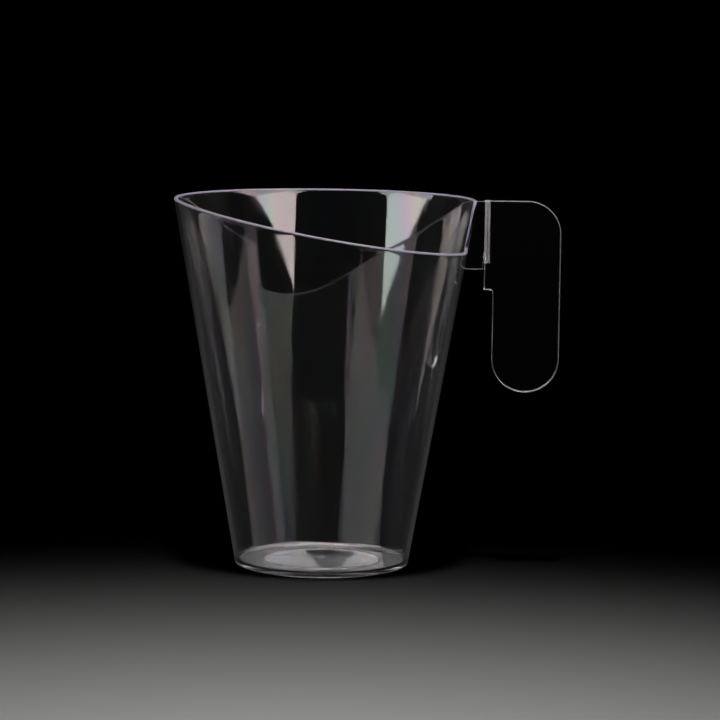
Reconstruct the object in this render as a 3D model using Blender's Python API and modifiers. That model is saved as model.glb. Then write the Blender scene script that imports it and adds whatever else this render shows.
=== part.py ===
"""Clear moulded mug with a slide-on handle tab.

Two mouldings: a tapered cup whose front rim slopes down towards the handle, and a
flat finger tab with a keyhole slot that slides up onto a rail on the cup's side.
Metres, +Z up. The origin is under the middle of the whole mug, on the table.
"""
import math

import bmesh
import bpy

# Cup, measured from its own axis
HEIGHT = 0.0965
RIM_RADIUS = 0.03958
CONE_BASE_RADIUS = 0.02272
WALL = 0.0010
FLOOR_TOP = 0.0012
FLOOR_FILLET = 0.0013
HEEL_FILLET = 0.0008
DOME_RADIUS = 0.0155
DOME_RISE = 0.0007
DOME_RINGS = (0.0, 0.4, 0.75, 1.0)
TURN_STEPS = 80
FILLET_STEPS = 4

# Sloping front rim: it falls RIM_DROP from the left to the handle, with a slight bow
RIM_DROP = 0.0136
RIM_BOW = 0.2
RIM_STEPS = 24
CUT_OVERRUN = 0.003
CUT_REACH = 0.045

# Web on the cup's side, with a round rail along its outer edge
WEB_THICKNESS = 0.0008
WEB_BOTTOM = 0.07845
RAIL_RADIUS = 0.0006
RAIL_BOTTOM = 0.0803
RAIL_TOP = 0.0962
RAIL_OFFSET = 0.04225
PIN_SIDES = 16

# Finger tab
TAB_LEFT = 0.0415
TAB_RIGHT = 0.0616
TAB_BOTTOM = 0.0462
TAB_THICKNESS = 0.0024
TAB_CORNER = 0.0088
TAB_EDGE = 0.0003
FOOT_BOTTOM = 0.0731
SHANK_LEFT = 0.0438
NOTCH_FILLET = 0.0008
CORNER_STEPS = 10
END_STEPS = 24
NOSE_RADIUS = 0.0011
NOSE_INSET = 0.0005
NOSE_HEIGHT = 0.0820
SLOT_CLEARANCE = 0.0001
SLOT_OVERRUN = 0.002
STOP_GAP = 0.0003

# Crystal polystyrene: a faint blue, nearly polished, and its refractive index
RESIN_COLOUR = (0.93, 0.94, 0.96, 1.0)
RESIN_ROUGHNESS = 0.03
RESIN_IOR = 1.59

# The cup's axis stands off the origin, so that the origin is under the whole mug
AXIS_X = (RIM_RADIUS - TAB_RIGHT) / 2
TAPER = (RIM_RADIUS - CONE_BASE_RADIUS) / HEIGHT
TAPER_ANGLE = math.atan(TAPER)


def new_collection(name):
    """A collection, linked to the scene."""
    collection = bpy.data.collections.new(name)
    bpy.context.scene.collection.children.link(collection)
    return collection


def clear_polystyrene():
    """Clear, glossy crystal polystyrene."""
    material = bpy.data.materials.new("clear_polystyrene")
    material.use_nodes = True
    shader = material.node_tree.nodes["Principled BSDF"]
    shader.inputs["Base Color"].default_value = RESIN_COLOUR
    shader.inputs["Roughness"].default_value = RESIN_ROUGHNESS
    shader.inputs["Metallic"].default_value = 0.0
    shader.inputs["IOR"].default_value = RESIN_IOR
    shader.inputs["Transmission Weight"].default_value = 1.0
    return material


def arc(centre_x, centre_z, radius, start, end, count):
    """Points on a circle from angle start to angle end, in degrees, both included."""
    points = []
    for i in range(count + 1):
        angle = math.radians(start + (end - start) * i / count)
        points.append((centre_x + radius * math.cos(angle), centre_z + radius * math.sin(angle)))
    return points


def dome_height(radius):
    """Rise of the pushed-up middle of the base over its edge, a shallow paraboloid."""
    return DOME_RISE * (1 - (radius / DOME_RADIUS) ** 2)


def fillet_centre(wall_base, height, radius):
    """Distance from the axis of a circle that touches a tapered wall on its inner side."""
    return wall_base + TAPER * height - radius / math.cos(TAPER_ANGLE)


def cup_profile():
    """Half section of the cup, from the floor's centre up the inside and down the outside."""
    lean = math.degrees(TAPER_ANGLE)
    rings = [DOME_RADIUS * share for share in DOME_RINGS]
    points = [(r, FLOOR_TOP + dome_height(r)) for r in rings]
    inner_height = FLOOR_TOP + FLOOR_FILLET
    inner_x = fillet_centre(CONE_BASE_RADIUS - WALL, inner_height, FLOOR_FILLET)
    points += arc(inner_x, inner_height, FLOOR_FILLET, -90, -lean, FILLET_STEPS)
    points += [(RIM_RADIUS - WALL, HEIGHT), (RIM_RADIUS, HEIGHT)]
    heel_x = fillet_centre(CONE_BASE_RADIUS, HEEL_FILLET, HEEL_FILLET)
    points += arc(heel_x, HEEL_FILLET, HEEL_FILLET, -lean, -90, FILLET_STEPS)
    points += [(r, dome_height(r)) for r in reversed(rings)]
    return points


def turned(name, points, collection):
    """Turn a half section round the Z axis with a Screw modifier."""
    mesh = bpy.data.meshes.new(name)
    mesh.from_pydata([(x, 0, z) for x, z in points], [(i, i + 1) for i in range(len(points) - 1)], [])
    body = bpy.data.objects.new(name, mesh)
    collection.objects.link(body)
    screw = body.modifiers.new("Turn", "SCREW")
    screw.steps = TURN_STEPS
    screw.render_steps = TURN_STEPS
    screw.use_merge_vertices = True
    screw.merge_threshold = 0.00001
    screw.use_smooth_shade = True
    return body


def flat_outline(name, points, thickness, collection, bevel=0.0):
    """A closed outline in the XZ plane, as a mesh of the given thickness along Y."""
    curve = bpy.data.curves.new(name, "CURVE")
    curve.dimensions = "2D"
    curve.fill_mode = "BOTH"
    curve.extrude = thickness / 2 - bevel
    curve.bevel_depth = bevel
    curve.bevel_resolution = 1
    curve.offset = -bevel
    spline = curve.splines.new("POLY")
    spline.points.add(len(points) - 1)
    for point, (x, z) in zip(spline.points, points):
        point.co = (x, z, 0, 1)
    spline.use_cyclic_u = True
    guide = bpy.data.objects.new(name + "_outline", curve)
    guide.rotation_euler = (math.radians(90), 0, 0)
    collection.objects.link(guide)
    bpy.context.view_layer.update()
    evaluated = guide.evaluated_get(bpy.context.evaluated_depsgraph_get())
    mesh = bpy.data.meshes.new_from_object(evaluated)
    mesh.transform(guide.matrix_world)
    weld = bmesh.new()
    weld.from_mesh(mesh)
    bmesh.ops.remove_doubles(weld, verts=weld.verts, dist=0.000001)
    bmesh.ops.recalc_face_normals(weld, faces=weld.faces)
    weld.to_mesh(mesh)
    weld.free()
    bpy.data.objects.remove(guide)
    solid = bpy.data.objects.new(name, mesh)
    collection.objects.link(solid)
    return solid


def upright_pin(name, x, bottom, top, radius, collection):
    """A round pin along Z, standing at x."""
    pin = bmesh.new()
    bmesh.ops.create_cone(pin, cap_ends=True, segments=PIN_SIDES, radius1=radius, radius2=radius,
                          depth=top - bottom)
    bmesh.ops.translate(pin, verts=pin.verts, vec=(x, 0, (top + bottom) / 2))
    mesh = bpy.data.meshes.new(name)
    pin.to_mesh(mesh)
    pin.free()
    body = bpy.data.objects.new(name, mesh)
    collection.objects.link(body)
    return body


def combine(body, tool, operation):
    """Join or cut a body with a helper solid, which stays as a wire guide."""
    boolean = body.modifiers.new(operation.title() + " " + tool.name, "BOOLEAN")
    boolean.operation = operation
    boolean.object = tool
    tool.hide_render = True
    tool.display_type = "WIRE"


def rim_cutter(collection):
    """Everything above the sloping rim, in front of the web."""
    points = []
    for i in range(RIM_STEPS + 1):
        share = i / RIM_STEPS
        drop = RIM_DROP * share * (1 + RIM_BOW * (1 - share))
        points.append((RIM_RADIUS * (2 * share - 1), HEIGHT - drop))
    points.append((RIM_RADIUS + CUT_OVERRUN, HEIGHT - RIM_DROP))
    points.append((RIM_RADIUS + CUT_OVERRUN, HEIGHT + CUT_OVERRUN))
    points.append((-RIM_RADIUS - CUT_OVERRUN, HEIGHT + CUT_OVERRUN))
    cutter = flat_outline("rim_cutter", points, CUT_REACH, collection)
    cutter.location = (0, -(WEB_THICKNESS + CUT_REACH) / 2, 0)
    return cutter


def web_blank(collection):
    """The flat web from mid wall out to the rail, with a step under the rail's end."""
    inset = WALL / 2
    points = [
        (CONE_BASE_RADIUS + TAPER * WEB_BOTTOM - inset, WEB_BOTTOM),
        (TAB_LEFT - STOP_GAP, WEB_BOTTOM),
        (TAB_LEFT - STOP_GAP, RAIL_BOTTOM),
        (RAIL_OFFSET, RAIL_BOTTOM),
        (RAIL_OFFSET, RAIL_TOP),
        (CONE_BASE_RADIUS + TAPER * RAIL_TOP - inset, RAIL_TOP),
    ]
    return flat_outline("web_blank", points, WEB_THICKNESS, collection)


def make_cup_body(parts, helpers):
    """The cup: tapered wall, domed base, sloping rim, and the web with its rail."""
    cup = turned("cup_body", cup_profile(), parts)
    combine(cup, rim_cutter(helpers), "DIFFERENCE")
    combine(cup, web_blank(helpers), "UNION")
    rail = upright_pin("rail_blank", RAIL_OFFSET, RAIL_BOTTOM, RAIL_TOP, RAIL_RADIUS, helpers)
    combine(cup, rail, "UNION")
    return cup


def tab_outline():
    """Outline of the tab: a foot under the rail, a narrow shank and a round lower end."""
    end_radius = (TAB_RIGHT - SHANK_LEFT) / 2
    points = arc(TAB_RIGHT - TAB_CORNER, HEIGHT - TAB_CORNER, TAB_CORNER, 90, 0, CORNER_STEPS)
    points += arc(SHANK_LEFT + end_radius, TAB_BOTTOM + end_radius, end_radius, 0, -180, END_STEPS)
    points += arc(SHANK_LEFT - NOTCH_FILLET, FOOT_BOTTOM - NOTCH_FILLET, NOTCH_FILLET, 0, 90,
                  FILLET_STEPS)
    points += [(TAB_LEFT, FOOT_BOTTOM), (TAB_LEFT, HEIGHT)]
    return points


def nose_blank(collection):
    """The small rounded nose on the tab's edge, beside the lower end of the slot."""
    nose = bmesh.new()
    bmesh.ops.create_uvsphere(nose, u_segments=12, v_segments=8, radius=NOSE_RADIUS)
    bmesh.ops.translate(nose, verts=nose.verts, vec=(TAB_LEFT + NOSE_INSET, 0, NOSE_HEIGHT))
    mesh = bpy.data.meshes.new("nose_blank")
    nose.to_mesh(mesh)
    nose.free()
    body = bpy.data.objects.new("nose_blank", mesh)
    collection.objects.link(body)
    return body


def make_handle_tab(parts, helpers):
    """The finger tab, with a keyhole slot open at the top and closed under the rail."""
    tab = flat_outline("handle_tab", tab_outline(), TAB_THICKNESS, parts, TAB_EDGE)
    combine(tab, nose_blank(helpers), "UNION")
    slot_bottom = RAIL_BOTTOM - STOP_GAP
    slot_top = HEIGHT + SLOT_OVERRUN
    bore = upright_pin("slot_bore", RAIL_OFFSET, slot_bottom, slot_top,
                       RAIL_RADIUS + SLOT_CLEARANCE, helpers)
    mouth_points = [
        (TAB_LEFT - SLOT_OVERRUN, slot_bottom),
        (RAIL_OFFSET, slot_bottom),
        (RAIL_OFFSET, slot_top),
        (TAB_LEFT - SLOT_OVERRUN, slot_top),
    ]
    mouth = flat_outline("slot_mouth", mouth_points, WEB_THICKNESS + 2 * SLOT_CLEARANCE, helpers)
    combine(tab, bore, "DIFFERENCE")
    combine(tab, mouth, "DIFFERENCE")
    return tab


def build():
    for item in list(bpy.data.objects):
        bpy.data.objects.remove(item)
    parts = new_collection("slide_handle_mug")
    helpers = new_collection("cutters")
    material = clear_polystyrene()
    cup = make_cup_body(parts, helpers)
    tab = make_handle_tab(parts, helpers)
    cup.data.materials.append(material)
    tab.data.materials.append(material)
    for item in list(parts.objects) + list(helpers.objects):
        item.location.x += AXIS_X


build()
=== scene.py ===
"""A clear moulded mug with a slide-on finger tab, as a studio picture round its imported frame."""
import math

import bmesh
import bpy
import numpy as np
from mathutils import Matrix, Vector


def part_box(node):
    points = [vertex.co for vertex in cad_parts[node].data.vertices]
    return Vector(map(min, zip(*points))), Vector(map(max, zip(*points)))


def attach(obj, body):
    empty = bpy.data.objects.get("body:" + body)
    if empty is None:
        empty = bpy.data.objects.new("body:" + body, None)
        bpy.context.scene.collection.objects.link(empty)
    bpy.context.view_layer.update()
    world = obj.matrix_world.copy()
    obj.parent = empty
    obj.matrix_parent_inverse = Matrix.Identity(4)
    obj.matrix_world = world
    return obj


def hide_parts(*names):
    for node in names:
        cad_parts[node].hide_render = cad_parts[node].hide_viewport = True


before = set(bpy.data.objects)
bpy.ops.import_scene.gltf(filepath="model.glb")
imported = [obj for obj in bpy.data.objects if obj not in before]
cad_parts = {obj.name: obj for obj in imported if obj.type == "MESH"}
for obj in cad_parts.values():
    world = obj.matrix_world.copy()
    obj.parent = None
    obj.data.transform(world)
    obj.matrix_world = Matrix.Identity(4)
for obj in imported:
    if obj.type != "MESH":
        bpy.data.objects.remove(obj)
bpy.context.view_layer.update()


# ---------------------------------------------------------------------------------------
# The camera: a long lens straight in front of the mug's axis and a little above the rim,
# turned slightly so that the whole mug, handle and all, stands in the frame.
# ---------------------------------------------------------------------------------------
cup_low, cup_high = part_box("cup_body")
rim_radius = cup_high.y
axis_x = cup_low.x + rim_radius
cup_height = cup_high.z

camera_y = -0.8645
camera_z = 0.1547
tilt_down = 6.635
camera_data = bpy.data.cameras.new("long_lens")
camera_data.lens = 165.9
camera_data.clip_end = 20.0
camera = bpy.data.objects.new("camera", camera_data)
bpy.context.scene.collection.objects.link(camera)
camera_place = Matrix.Translation((axis_x, camera_y, camera_z))
camera_pan = Matrix.Rotation(math.radians(-0.63), 4, "Z")
camera_tilt = Matrix.Rotation(math.radians(90 - tilt_down), 4, "X")
camera_roll = Matrix.Rotation(math.radians(0.77), 4, "Z")
camera.matrix_world = camera_place @ camera_pan @ camera_tilt @ camera_roll
bpy.context.scene.camera = camera


# ---------------------------------------------------------------------------------------
# The cup: one injection moulding in crystal polystyrene, gated at the middle of its base.
# Wall and base are about 1 mm thick, the base is pushed up in the middle, and the front
# rim slopes down to a step beside the handle. The lip is rounded all the way along.
# ---------------------------------------------------------------------------------------
cone_base_radius = 0.02272
wall = 0.0010
taper = (rim_radius - cone_base_radius) / cup_height
lean = math.atan(taper)
floor_top = 0.0012
floor_fillet = 0.0013
heel_fillet = 0.0008
dome_radius = 0.0155
dome_rise = 0.0007
ring_width = 0.0005
ring_step = 0.0002
gate_radius = 0.0006
gate_rise = 0.0003
rim_drop = 0.0136
rim_bow = 0.2
step_fillet = 0.0015
step_reach = 0.0022
end_rounding = 0.45 * wall
end_blend = 0.0012
lip_flare = 0.00003
lip_flare_height = 0.0010
web_thickness = 0.0008
shoulder = 0.0820


def arc_points(centre_r, centre_z, radius, start, end, count):
    """Points (r, z) on a circle, from angle start to angle end in degrees."""
    angle = np.radians(np.linspace(start, end, count))
    return np.stack([centre_r + radius * np.cos(angle), centre_z + radius * np.sin(angle)], 1)


def dome_height(r):
    """Height of the pushed-up middle over the base.

    A bowl, rise * (1 - (r / edge radius) squared), that ends in a small smooth step down,
    step * (3 t^2 - 2 t^3) over the ring's width.
    """
    t = np.clip((dome_radius - r) / ring_width, 0, 1)
    return dome_rise * (1 - (r / dome_radius) ** 2) + ring_step * (3 * t**2 - 2 * t**3)


def gate_height(r):
    """The gate's stub under the middle of the base, rise * (1 - (r / gate radius)^4)."""
    return gate_rise * np.clip(1 - (r / gate_radius) ** 4, 0, 1)


def rim_height(azimuth):
    """Level round the back; in front, height - drop * u * (1 + bow * (1 - u)).

    u runs from 0 at the left to 1 at the right and goes by the wall's own x, which is
    solved for by repetition because the wall leans. At the step a small round fillet,
    fillet - sqrt(fillet^2 - (fillet - s)^2) with s the distance to it, lifts the end.
    """
    height = np.full_like(azimuth, cup_height)
    for _ in range(4):
        radius = cone_base_radius + taper * height - wall / 2
        u = (1 + radius * np.cos(azimuth) / rim_radius) / 2
        height = cup_height - rim_drop * u * (1 + rim_bow * (1 - u))
    to_step = np.clip((azimuth.max() - azimuth) * radius, 0, step_fillet)
    height = height + step_fillet - np.sqrt(step_fillet**2 - (step_fillet - to_step) ** 2)
    return np.where(azimuth <= math.pi, cup_height, height)


def grid_mesh(name, points, close_rows=False, close_columns=False):
    """A mesh from a grid of points, rows by columns by xyz, closed round where asked."""
    rows, columns = points.shape[:2]
    index = np.arange(rows * columns).reshape(rows, columns)
    if close_rows:
        index = np.vstack([index, index[:1]])
    if close_columns:
        index = np.hstack([index, index[:, :1]])
    quads = np.stack([index[:-1, :-1], index[:-1, 1:], index[1:, 1:], index[1:, :-1]], -1)
    mesh = bpy.data.meshes.new(name)
    mesh.from_pydata(points.reshape(-1, 3), [], quads.reshape(-1, 4).tolist())
    return mesh


def cleaned(mesh, merge=0.000002):
    """Merges equal points, drops what has no area and turns every face outwards."""
    edit = bmesh.new()
    edit.from_mesh(mesh)
    bmesh.ops.remove_doubles(edit, verts=edit.verts, dist=merge)
    bmesh.ops.dissolve_degenerate(edit, edges=edit.edges, dist=merge)
    bmesh.ops.recalc_face_normals(edit, faces=edit.faces)
    edit.to_mesh(mesh)
    edit.free()
    return mesh


def smooth_columns(step_edge):
    """Azimuths round the cup, closer together beside the step, and each one's edge inset.

    Beside the free edge of the high wall the section shrinks by edge * (1 - sin t) while
    it moves away by edge * (1 - cos t), which rounds that edge over.
    """
    start = -web_thickness / 2 / rim_radius
    turn = np.radians(np.linspace(0, 90, 6))
    rounded = start + step_edge * (1 - np.cos(turn)) / rim_radius
    near = start + 2 * math.pi - np.linspace(step_reach, 0, 12) / rim_radius
    around = np.linspace(rounded[-1], near[0], 290)[1:-1]
    azimuth = np.concatenate([rounded, around, near])
    inset = np.zeros_like(azimuth)
    inset[: len(turn)] = step_edge * (1 - np.sin(turn))
    return azimuth, inset


def cup_surface():
    """The whole cup as one closed grid: azimuth by the points of its section.

    The section runs from the middle of the underside round the heel, up the outside, over
    the lip, which is half a circle of the wall's thickness, down the inside and over the
    floor back to the axis. Rows above the shoulder follow the rim, 1 - (1 - s)^crowding of
    the way up to it. The inside gives way near the lip by flare * t^2, with t the nearness.
    The rounding of the high wall's free edge fades in above the low end of the rim.
    """
    azimuth, inset = smooth_columns(end_rounding)
    top = rim_height(azimuth)
    lean_degrees = math.degrees(lean)
    rings = np.concatenate([np.linspace(0, gate_radius, 6)[:-1],
                            np.linspace(gate_radius, dome_radius - ring_width, 16),
                            np.linspace(dome_radius - ring_width, dome_radius, 7)[1:]])
    under = np.stack([rings, dome_height(rings) - gate_height(rings)], 1)
    heel_r = cone_base_radius + taper * heel_fillet - heel_fillet / math.cos(lean)
    heel = arc_points(heel_r, heel_fillet, heel_fillet, -90, -lean_degrees, 9)
    fillet_z = floor_top + floor_fillet
    fillet_r = cone_base_radius - wall + taper * fillet_z - floor_fillet / math.cos(lean)
    inner_corner = arc_points(fillet_r, fillet_z, floor_fillet, -lean_degrees, -90, 9)
    floor = np.stack([rings, floor_top + dome_height(rings)], 1)[::-1]
    levels = np.linspace(heel[-1, 1], shoulder, 22)[1:]
    outside = np.stack([cone_base_radius + taper * levels, levels], 1)
    inside_levels = np.linspace(shoulder, inner_corner[0, 1], 22)[:-1]
    inside = np.stack([cone_base_radius - wall + taper * inside_levels, inside_levels], 1)

    crowding = 1.6
    share = 1 - (1 - np.linspace(0, 1, 19)[1:]) ** crowding
    low_end = top[-1]
    lip = wall / 2
    rise = (top - lip - shoulder)[:, None] * share[None, :] + shoulder
    upper_outer = np.stack([cone_base_radius + taper * rise, rise], -1)
    near_lip = np.clip((rise - (top - lip - lip_flare_height)[:, None]) / lip_flare_height, 0, 1)
    flare = lip_flare * near_lip**2
    upper_inner = np.stack([cone_base_radius - wall + taper * rise + flare, rise], -1)[:, ::-1]
    angle = np.radians(np.linspace(0, 180, 13))[1:-1]
    lip_z = (top - lip)[:, None]
    inner_side = np.clip(-np.cos(angle), 0, 1)[None, :]
    lip_r = cone_base_radius + taper * lip_z - lip + lip * np.cos(angle)[None, :]
    lip_r = lip_r + lip_flare * inner_side
    round_lip = np.stack([lip_r, lip_z + lip * np.sin(angle)[None, :]], -1)
    upper = np.concatenate([upper_outer, round_lip, upper_inner], 1)

    middle = cone_base_radius + taper * upper[..., 1] - lip
    blend = np.clip((upper[..., 1] - low_end) / end_blend, 0, 1)
    blend = blend * blend * (3 - 2 * blend)
    squeeze = blend * inset[:, None]
    upper[..., 0] -= np.clip((upper[..., 0] - middle) / lip, -1, 1) * squeeze
    upper[..., 1] -= squeeze * (upper[..., 1] > top[:, None] - lip)

    def every_column(points):
        return np.broadcast_to(points, (len(azimuth), *points.shape))

    section = np.concatenate(
        [every_column(np.concatenate([under, heel, outside])), upper,
         every_column(np.concatenate([inside, inner_corner, floor]))], 1)
    r, z = section[..., 0], section[..., 1]
    turn = azimuth[:, None]
    return np.stack([axis_x + r * np.cos(turn), r * np.sin(turn), z], -1)


def new_piece(name, mesh):
    """An object at the origin for a finished mesh."""
    piece = bpy.data.objects.new(name, mesh)
    bpy.context.scene.collection.objects.link(piece)
    return piece


def with_boolean(piece, tool, operation):
    """Joins or cuts the piece with a closed tool mesh, and keeps only the result.

    Both meshes are closed, so the solver for closed meshes takes the thin rounded ends.
    """
    helper = new_piece(tool.name, tool)
    boolean = piece.modifiers.new(operation.title(), "BOOLEAN")
    boolean.operation = operation
    boolean.solver = "MANIFOLD"
    boolean.object = helper
    bpy.context.view_layer.update()
    evaluated = piece.evaluated_get(bpy.context.evaluated_depsgraph_get())
    result = bpy.data.meshes.new_from_object(evaluated)
    piece.modifiers.clear()
    piece.data = result
    bpy.data.objects.remove(helper)
    return piece


cup = new_piece("cup", cleaned(grid_mesh("cup", cup_surface(), close_rows=True)))

tab_low, tab_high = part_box("handle_tab")
nose_overhang = 0.0006
tab_left = tab_low.x + nose_overhang
rail_bottom = 0.0803
rail_top = 0.0962
rail_radius = 0.0006
rail_inset = 0.00075
rail_x = tab_left + rail_inset
web_bottom = 0.07845
web_edge = 0.00012
stop_gap = 0.0003


def lofted(name, sections):
    """A closed body through a stack of equal-length closed outlines, with flat ends."""
    rows, columns = sections.shape[:2]
    mesh = grid_mesh(name, sections, close_columns=True)
    edit = bmesh.new()
    edit.from_mesh(mesh)
    edit.verts.ensure_lookup_table()
    edit.faces.new([edit.verts[i] for i in range(columns)])
    edit.faces.new([edit.verts[(rows - 1) * columns + i] for i in range(columns)])
    edit.to_mesh(mesh)
    edit.free()
    return cleaned(mesh)


def plate_sections(outline, thickness, edge, steps=5):
    """An XZ outline carried through the plate's thickness, its rim rounded by edge.

    Each section is the outline moved inwards by edge * (1 - sin t) at a depth of
    edge * (1 - cos t) from the face, as t turns through a right angle on either face. One
    more section on each face, further in, keeps the flat middle apart from the rounding.
    """
    face_border = [1.3 * edge]
    ahead = np.roll(outline, -1, 0) - outline
    behind = outline - np.roll(outline, 1, 0)
    ahead /= np.linalg.norm(ahead, axis=1, keepdims=True)
    behind /= np.linalg.norm(behind, axis=1, keepdims=True)
    tangent = ahead + behind
    tangent /= np.linalg.norm(tangent, axis=1, keepdims=True)
    normal = np.stack([tangent[:, 1], -tangent[:, 0]], 1)
    turn_in = 1 / np.clip((ahead * tangent).sum(1), 0.5, 1)
    after = np.roll(outline, -1, 0)
    area = (outline[:, 0] * after[:, 1] - after[:, 0] * outline[:, 1]).sum()
    normal *= -np.sign(area) * turn_in[:, None]
    t = np.radians(np.linspace(0, 90, steps))
    inwards = edge * (1 - np.sin(t))
    deeper = edge * (1 - np.cos(t))
    inset = np.concatenate([face_border, inwards, inwards[::-1], face_border])
    depth = np.concatenate([[0], deeper, thickness - deeper[::-1], [thickness]])
    flat = outline[None] + inset[:, None, None] * normal[None]
    y = np.broadcast_to(depth[:, None] - thickness / 2, flat.shape[:2])
    return np.stack([flat[..., 0], y, flat[..., 1]], -1)


def straight(start, end, count):
    """Points along a straight stretch of an outline, without the last."""
    return np.linspace(start, end, count, endpoint=False)


web_in_low = axis_x + cone_base_radius + taper * web_bottom - wall / 2
web_in_high = axis_x + cone_base_radius + taper * rail_top - wall / 2
web_outline = np.concatenate([
    straight((web_in_low, web_bottom), (tab_left - stop_gap, web_bottom), 6),
    straight((tab_left - stop_gap, web_bottom), (tab_left - stop_gap, rail_bottom), 4),
    straight((tab_left - stop_gap, rail_bottom), (rail_x, rail_bottom), 3),
    straight((rail_x, rail_bottom), (rail_x, rail_top), 12),
    straight((rail_x, rail_top), (web_in_high, rail_top), 4),
    straight((web_in_high, rail_top), (web_in_low, web_bottom), 12),
])
web = lofted("web", plate_sections(web_outline, web_thickness, web_edge))
with_boolean(cup, web, "UNION")

turn = np.linspace(0, 2 * math.pi, 32, endpoint=False)
end_rise = np.array([0, 0.0001, 0.0003])
end_width = np.array([0.6, 0.87, 1])
rise = np.concatenate([end_rise, (rail_top - rail_bottom) - end_rise[::-1]])
width = rail_radius * np.concatenate([end_width, end_width[::-1]])
rail_sections = np.stack([
    rail_x + width[:, None] * np.cos(turn)[None, :],
    width[:, None] * np.sin(turn)[None, :],
    np.broadcast_to(rail_bottom + rise[:, None], (len(rise), len(turn))),
], -1)
with_boolean(cup, lofted("rail", rail_sections), "UNION")


def srgb(text):
    """A hex colour as linear red, green, blue and alpha."""
    parts = [int(text[i:i + 2], 16) / 255 for i in (0, 2, 4)]
    return [c / 12.92 if c <= 0.04045 else ((c + 0.055) / 1.055) ** 2.4 for c in parts] + [1.0]


def add_node(tree, kind, settings=None, **links):
    """Adds a node, sets its properties, and fills or links its inputs.

    An input goes by its name, with _ for a space, or by its number, as i0, i1 and so on.
    """
    node = tree.nodes.new(kind)
    for key, value in (settings or {}).items():
        setattr(node, key, value)
    for key, value in links.items():
        numbered = key[0] == "i" and key[1:].isdigit()
        socket = node.inputs[int(key[1:]) if numbered else key.replace("_", " ")]
        if isinstance(value, bpy.types.NodeSocket):
            tree.links.new(value, socket)
        else:
            socket.default_value = value
    return node


def mark_edges(piece, smooth_radius=0.0009, full_radius=0.00055, flat_share=0.85):
    """Stores how tightly the surface bends at each point as the attribute "edge", 0 to 1.

    The bend is the angle between two faces over the distance of their middles, which is
    taken as 0.05 mm at least. It counts from one over the smooth radius and is full at one
    over the full radius. On the web, the rail and the tab, outside the cup's wall, only the
    flat share of it is kept. What is on the cup's wall is stored as "violet" too.
    """
    least_apart = 0.00005
    wall_margin = 0.0003
    mesh = piece.data
    centres = np.empty(len(mesh.polygons) * 3)
    normals = np.empty(len(mesh.polygons) * 3)
    loop_edges = np.empty(len(mesh.loops), dtype=np.int32)
    face_sizes = np.empty(len(mesh.polygons), dtype=np.int32)
    edge_ends = np.empty(len(mesh.edges) * 2, dtype=np.int32)
    mesh.polygons.foreach_get("center", centres)
    mesh.polygons.foreach_get("normal", normals)
    mesh.polygons.foreach_get("loop_total", face_sizes)
    mesh.loops.foreach_get("edge_index", loop_edges)
    mesh.edges.foreach_get("vertices", edge_ends)
    loop_faces = np.repeat(np.arange(len(face_sizes)), face_sizes)
    order = np.argsort(loop_edges, kind="stable")
    pairs = loop_faces[order].reshape(-1, 2)
    centres, normals = centres.reshape(-1, 3), normals.reshape(-1, 3)
    apart = np.linalg.norm(centres[pairs[:, 0]] - centres[pairs[:, 1]], axis=1)
    turn_cosine = (normals[pairs[:, 0]] * normals[pairs[:, 1]]).sum(1)
    bend = np.arccos(np.clip(turn_cosine, -1, 1)) / np.maximum(apart, least_apart)
    share = np.clip((bend - 1 / smooth_radius) / (1 / full_radius - 1 / smooth_radius), 0, 1)
    edge = np.zeros(len(mesh.vertices))
    np.maximum.at(edge, edge_ends.reshape(-1, 2), share[:, None])
    places = np.empty(len(mesh.vertices) * 3)
    mesh.vertices.foreach_get("co", places)
    out = np.hypot(places[0::3] - axis_x, places[1::3]) - taper * places[2::3] - cone_base_radius
    on_cup = out <= wall_margin
    edge *= np.where(on_cup, 1, flat_share)
    mesh.attributes.new("edge", "FLOAT", "POINT").data.foreach_set("value", edge)
    mesh.attributes.new("violet", "FLOAT", "POINT").data.foreach_set("value", edge * on_cup)


# Crystal polystyrene out of a polished mould is as clear as glass. Tight edges, where the
# mould parts, come out slightly matt and gather light, and on the cup they show the violet
# toner that hides the resin's yellow. The melt ran up from the base, so the skin is faintly
# ribbed along the height, and its stress shows as weak rainbow tints.
# Both patterns lie on the direction round the axis plus 4 for each metre up, so that a rib
# is about 5 mm wide and 36 mm long, and a tint three times as big. Patches of wear are about
# 6 mm across.
noise_per_metre_up = 4
rib_scale = 7.0
rib_depth = 0.00002
tint_scale = 2.2
wear_scale = 160.0
crystal = bpy.data.materials.new("crystal_polystyrene")
crystal.use_nodes = True
crystal_tree = crystal.node_tree
crystal_shader = crystal_tree.nodes["Principled BSDF"]
crystal_shader.inputs["Transmission Weight"].default_value = 1.0
crystal_shader.inputs["IOR"].default_value = 1.59
crystal_shader.inputs["Thin Film IOR"].default_value = 1.555
edge_share = add_node(crystal_tree, "ShaderNodeAttribute", {"attribute_name": "edge"})
own_place = add_node(crystal_tree, "ShaderNodeTexCoord")
from_axis = add_node(crystal_tree, "ShaderNodeVectorMath", {"operation": "SUBTRACT"},
                     i0=own_place.outputs["Object"], i1=(axis_x, 0, 0))
level = add_node(crystal_tree, "ShaderNodeVectorMath", {"operation": "MULTIPLY"},
                 i0=from_axis.outputs[0], i1=(1, 1, 0))
around = add_node(crystal_tree, "ShaderNodeVectorMath", {"operation": "NORMALIZE"},
                  i0=level.outputs[0])
upwards = add_node(crystal_tree, "ShaderNodeVectorMath", {"operation": "MULTIPLY"},
                   i0=from_axis.outputs[0], i1=(0, 0, noise_per_metre_up))
flow = add_node(crystal_tree, "ShaderNodeVectorMath", {"operation": "ADD"},
                i0=around.outputs[0], i1=upwards.outputs[0])
ribs = add_node(crystal_tree, "ShaderNodeTexNoise", Vector=flow.outputs[0], Scale=rib_scale,
                Detail=4.0, Roughness=0.45)
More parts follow.
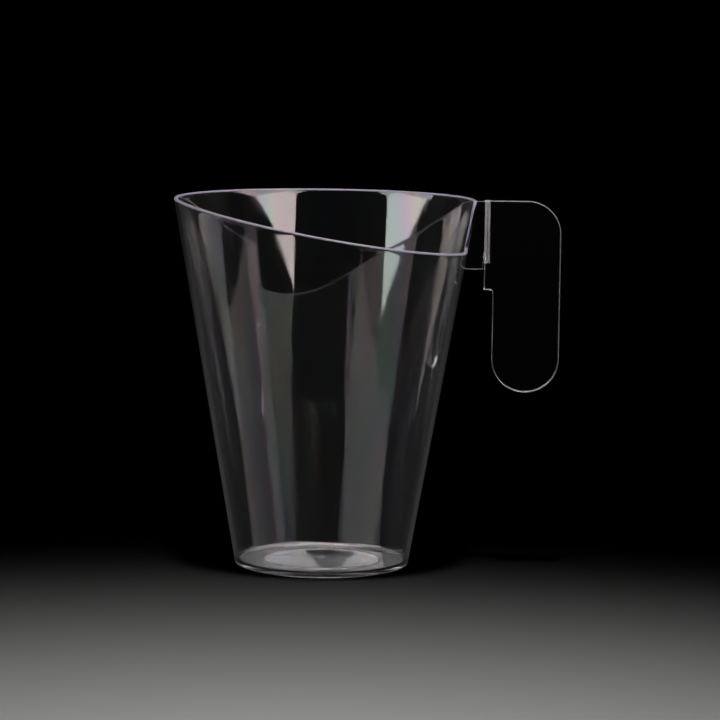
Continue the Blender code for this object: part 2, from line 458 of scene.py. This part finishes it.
ribbed = add_node(crystal_tree, "ShaderNodeBump", Height=ribs.outputs["Fac"],
                  Strength=1.0, Distance=rib_depth)
crystal_tree.links.new(ribbed.outputs[0], crystal_shader.inputs["Normal"])
stress = add_node(crystal_tree, "ShaderNodeTexNoise", Vector=flow.outputs[0],
                  Scale=tint_scale, Detail=1.0)
film = add_node(crystal_tree, "ShaderNodeMapRange", Value=stress.outputs["Fac"],
                From_Min=0.3, From_Max=0.7, To_Min=280.0, To_Max=700.0)
crystal_tree.links.new(film.outputs["Result"], crystal_shader.inputs["Thin Film Thickness"])
wear = add_node(crystal_tree, "ShaderNodeTexNoise", Vector=own_place.outputs["Object"],
                Scale=wear_scale, Detail=5.0)
wall_roughness = add_node(crystal_tree, "ShaderNodeMapRange", Value=wear.outputs["Fac"],
                          From_Min=0.35, From_Max=0.75, To_Min=0.01, To_Max=0.05)
edge_roughness = add_node(crystal_tree, "ShaderNodeMapRange", Value=edge_share.outputs["Fac"],
                          To_Min=wall_roughness.outputs["Result"], To_Max=0.62)
violet_share = add_node(crystal_tree, "ShaderNodeAttribute", {"attribute_name": "violet"})
edge_tint = add_node(crystal_tree, "ShaderNodeMix", {"data_type": "RGBA"},
                     i0=violet_share.outputs["Fac"], i6=srgb("FAFBFC"), i7=srgb("D6C8FC"))
crystal_tree.links.new(edge_roughness.outputs["Result"], crystal_shader.inputs["Roughness"])
crystal_tree.links.new(edge_tint.outputs[2], crystal_shader.inputs["Base Color"])


def finish_piece(piece, body, node, material, sharp=35):
    """Smooth shading, the material, and the calls that tie the piece to its CAD part.

    The edges inside the flat faces of the web and the tab are dissolved first, so that
    each of these faces is one plane for the shading and for the bend of its rim.
    """
    facing_y = 0.9999
    same_plane = 0.001
    edit = bmesh.new()
    edit.from_mesh(piece.data)
    on_flat = [e for e in edit.edges if all(abs(face.normal.y) > facing_y for face in e.link_faces)]
    bmesh.ops.dissolve_limit(edit, angle_limit=same_plane, edges=on_flat, verts=[])
    edit.to_mesh(piece.data)
    edit.free()
    piece.data.materials.clear()
    piece.data.materials.append(material)
    piece.data.shade_smooth()
    piece.data.set_sharp_from_angle(angle=math.radians(sharp))
    mark_edges(piece)
    flats_first = piece.modifiers.new("Weighted Normal", "WEIGHTED_NORMAL")
    flats_first.keep_sharp = True
    piece.visible_diffuse = False
    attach(piece, body)
    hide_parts(node)


finish_piece(cup, "cup", "cup_body", crystal)


# ---------------------------------------------------------------------------------------
# The finger tab: a second moulding in the same clear polystyrene, flat and 2.4 mm thick.
# A keyhole slot in its left edge takes the cup's rail from below, a foot under the slot
# carries the cup, and a small nose stands out of the edge by the slot's lower end.
# ---------------------------------------------------------------------------------------
tab_right = tab_high.x
tab_bottom = tab_low.z
tab_top = tab_high.z
tab_thickness = tab_high.y - tab_low.y
tab_corner = 0.0088
tab_edge = 0.0003
foot_bottom = 0.0731
shank_left = tab_left + 0.0023
notch_fillet = 0.0008
slot_clearance = 0.0001
slot_overrun = 0.002
nose_radius = 0.0011
nose_height = 0.0820
end_radius = (tab_right - shank_left) / 2

tab_outline = np.concatenate([
    straight((tab_left, foot_bottom), (tab_left, tab_top), 40),
    straight((tab_left, tab_top), (tab_right - tab_corner, tab_top), 12),
    arc_points(tab_right - tab_corner, tab_top - tab_corner, tab_corner, 90, 0, 32)[:-1],
    straight((tab_right, tab_top - tab_corner), (tab_right, tab_bottom + end_radius), 20),
    arc_points(shank_left + end_radius, tab_bottom + end_radius, end_radius, 0, -180, 64)[:-1],
    straight((shank_left, tab_bottom + end_radius), (shank_left, foot_bottom - notch_fillet), 12),
    arc_points(shank_left - notch_fillet, foot_bottom - notch_fillet, notch_fillet, 0, 90, 9)[:-1],
    straight((shank_left - notch_fillet, foot_bottom), (tab_left, foot_bottom), 3),
])
tab = new_piece("handle", lofted("handle", plate_sections(tab_outline, tab_thickness, tab_edge)))

nose_x = tab_left + (nose_radius - nose_overhang)
polar = np.linspace(0, math.pi, 17)[:, None]
nose_points = np.stack([
    nose_x + nose_radius * np.sin(polar) * np.cos(turn)[None, :],
    nose_radius * np.sin(polar) * np.sin(turn)[None, :],
    np.broadcast_to(nose_height - nose_radius * np.cos(polar), (len(polar), len(turn))),
], -1)
with_boolean(tab, cleaned(grid_mesh("nose", nose_points, close_columns=True)), "UNION")

slot_sections_z = np.array([rail_bottom - stop_gap, tab_top + slot_overrun])
bore_radius = rail_radius + slot_clearance
mouth_half = web_thickness / 2 + slot_clearance
mouth_angle = math.asin(mouth_half / bore_radius)
bore = np.linspace(math.pi - mouth_angle, -math.pi + mouth_angle, 33)
keyhole = np.concatenate([
    np.stack([rail_x + bore_radius * np.cos(bore), bore_radius * np.sin(bore)], 1),
    [[tab_left - slot_overrun, -mouth_half], [tab_left - slot_overrun, mouth_half]],
])
slot_sections = np.stack([
    np.broadcast_to(keyhole[:, 0], (2, len(keyhole))),
    np.broadcast_to(keyhole[:, 1], (2, len(keyhole))),
    np.broadcast_to(slot_sections_z[:, None], (2, len(keyhole))),
], -1)
with_boolean(tab, lofted("slot", slot_sections), "DIFFERENCE")
finish_piece(tab, "handle", "handle_tab", crystal)


# ---------------------------------------------------------------------------------------
# The studio: a plain pale floor under one soft lamp in front, two big level diffusers over
# the table on either side and a small one overhead, and a nearly dark room. The clear walls
# only show what they mirror: the diffusers, and the table's polish with the diffusers in it.
# Where a wall mirrors the floor, the floor's near black colour is painted shade.
# ---------------------------------------------------------------------------------------
floor_side = 20
floor_back = 30
floor_corners = [(-floor_side, -floor_side, 0), (floor_side, -floor_side, 0),
                 (floor_side, floor_back, 0), (-floor_side, floor_back, 0)]
floor_mesh = bpy.data.meshes.new("floor")
floor_mesh.from_pydata(floor_corners, [], [(0, 1, 2, 3)])
floor = new_piece("floor", floor_mesh)
board = bpy.data.materials.new("polished_board_with_painted_shade")
board.use_nodes = True
board_tree = board.node_tree
board_shader = board_tree.nodes["Principled BSDF"]
board_shader.inputs["Roughness"].default_value = 0.9
board_shader.inputs["Specular IOR Level"].default_value = 0.0
board_shader.inputs["Coat Roughness"].default_value = 0.03
board_shader.inputs["Coat IOR"].default_value = 1.4
# Painted shade: seen in a mirror, the board's colour turns near black and it takes a polish. Seen
# directly or through the clear walls, it stays pale and matt.
light_path = add_node(board_tree, "ShaderNodeLightPath")
mirrored = add_node(board_tree, "ShaderNodeMath", {"operation": "MINIMUM"},
                    i0=light_path.outputs["Glossy Depth"], i1=1.0)
board_colour_and_painted_shade = add_node(board_tree, "ShaderNodeMix", {"data_type": "RGBA"}, i0=mirrored.outputs[0],
                        i6=srgb("D8D8D6"), i7=srgb("0A0A0A"))
board_tree.links.new(board_colour_and_painted_shade.outputs[2], board_shader.inputs["Base Color"])
polish = add_node(board_tree, "ShaderNodeMath", {"operation": "MULTIPLY"},
                  i0=mirrored.outputs[0], i1=0.5)
board_tree.links.new(polish.outputs[0], board_shader.inputs["Coat Weight"])
floor.data.materials.append(board)

panel_height = 0.30
warm_white = (1.0, 0.93, 0.92, 1.0)
side_radiance = 4.9
overhead_radiance = 11.0


def soft_panel(name, radiance, corners):
    """A level diffuser over the table, seen only in what mirrors it or lets it through.

    The corners are (x, y) from the cup's axis, y growing away from the camera.
    """
    cloth = bpy.data.materials.new("lit_diffuser_cloth")
    cloth.use_nodes = True
    tree = cloth.node_tree
    glow = add_node(tree, "ShaderNodeEmission", Color=warm_white, Strength=radiance)
    tree.links.new(glow.outputs[0], tree.nodes["Material Output"].inputs["Surface"])
    mesh = bpy.data.meshes.new(name)
    mesh.from_pydata([(axis_x + x, y, panel_height) for x, y in corners], [], [range(len(corners))])
    panel = new_piece(name, mesh)
    panel.data.materials.append(cloth)
    panel.visible_diffuse = False
    panel.visible_camera = False
    panel.visible_shadow = False


soft_panel("panel_right", side_radiance, [
    (-0.055, -0.254), (0.439, -0.792), (0.770, -0.310), (0.500, 0.270), (0.230, 0.250)])
soft_panel("panel_left", side_radiance, [
    (-0.061, -0.244), (-0.929, -0.605), (-1.100, 0.120), (-0.250, 0.150)])
soft_panel("panel_overhead", overhead_radiance, [
    (-0.10, -0.12), (0.10, -0.12), (0.10, 0.08), (-0.10, 0.08)])

lamp_y = -0.30
lamp_z = 1.2
front = bpy.data.lights.new("floor_lamp", "SPOT")
front.energy = 34
front.spot_size = math.radians(22)
front.spot_blend = 1.0
front.shadow_soft_size = 0.12
front_lamp = bpy.data.objects.new("floor_lamp", front)
bpy.context.scene.collection.objects.link(front_lamp)
front_lamp.matrix_world = Matrix.Translation((axis_x, lamp_y, lamp_z))
front_lamp.visible_glossy = False
front_lamp.visible_transmission = False

# The room's own light: a weak glow at the back, over the far end of the table, one higher up
# on both sides, and a trace from everywhere else. It is seen in what the clear walls mirror
# and let through, and it doesn't light the floor.
back_strength = 0.20
side_strength = 0.3
room_strength = 0.035
side_narrowing = 5.0
world = bpy.data.worlds.new("studio")
world.use_nodes = True
sky = world.node_tree
look = add_node(sky, "ShaderNodeTexCoord")
look_parts = add_node(sky, "ShaderNodeSeparateXYZ", Vector=look.outputs["Generated"])
sideways = add_node(sky, "ShaderNodeMath", {"operation": "ABSOLUTE"}, i0=look_parts.outputs["X"])
to_sides = add_node(sky, "ShaderNodeMath", {"operation": "POWER"},
                    i0=sideways.outputs[0], i1=side_narrowing)
above = add_node(sky, "ShaderNodeMapRange", {"interpolation_type": "SMOOTHSTEP"},
                 Value=look_parts.outputs["Z"], From_Min=0.20, From_Max=0.38)
side_glow = add_node(sky, "ShaderNodeMath", {"operation": "MULTIPLY"},
                     i0=to_sides.outputs[0], i1=above.outputs["Result"])
behind = add_node(sky, "ShaderNodeMapRange", {"interpolation_type": "SMOOTHSTEP"},
                  Value=look_parts.outputs["Y"], From_Min=-0.2, From_Max=0.6)
over_table = add_node(sky, "ShaderNodeMapRange", {"interpolation_type": "SMOOTHSTEP"},
                      Value=look_parts.outputs["Z"], From_Min=0.12, From_Max=0.21)
back_glow = add_node(sky, "ShaderNodeMath", {"operation": "MULTIPLY"},
                     i0=behind.outputs["Result"], i1=over_table.outputs["Result"])
glow = add_node(sky, "ShaderNodeMath", {"operation": "MULTIPLY_ADD"},
                i0=back_glow.outputs[0], i1=back_strength, i2=room_strength)
room = add_node(sky, "ShaderNodeMath", {"operation": "MULTIPLY_ADD"},
                i0=side_glow.outputs[0], i1=side_strength, i2=glow.outputs[0])
sky.links.new(room.outputs[0], sky.nodes["Background"].inputs["Strength"])
sky.nodes["Background"].inputs["Color"].default_value = srgb("FFFFFF")
bpy.context.scene.world = world
world.cycles_visibility.diffuse = False
world.cycles_visibility.camera = False
bpy.context.scene.view_settings.view_transform = "Standard"
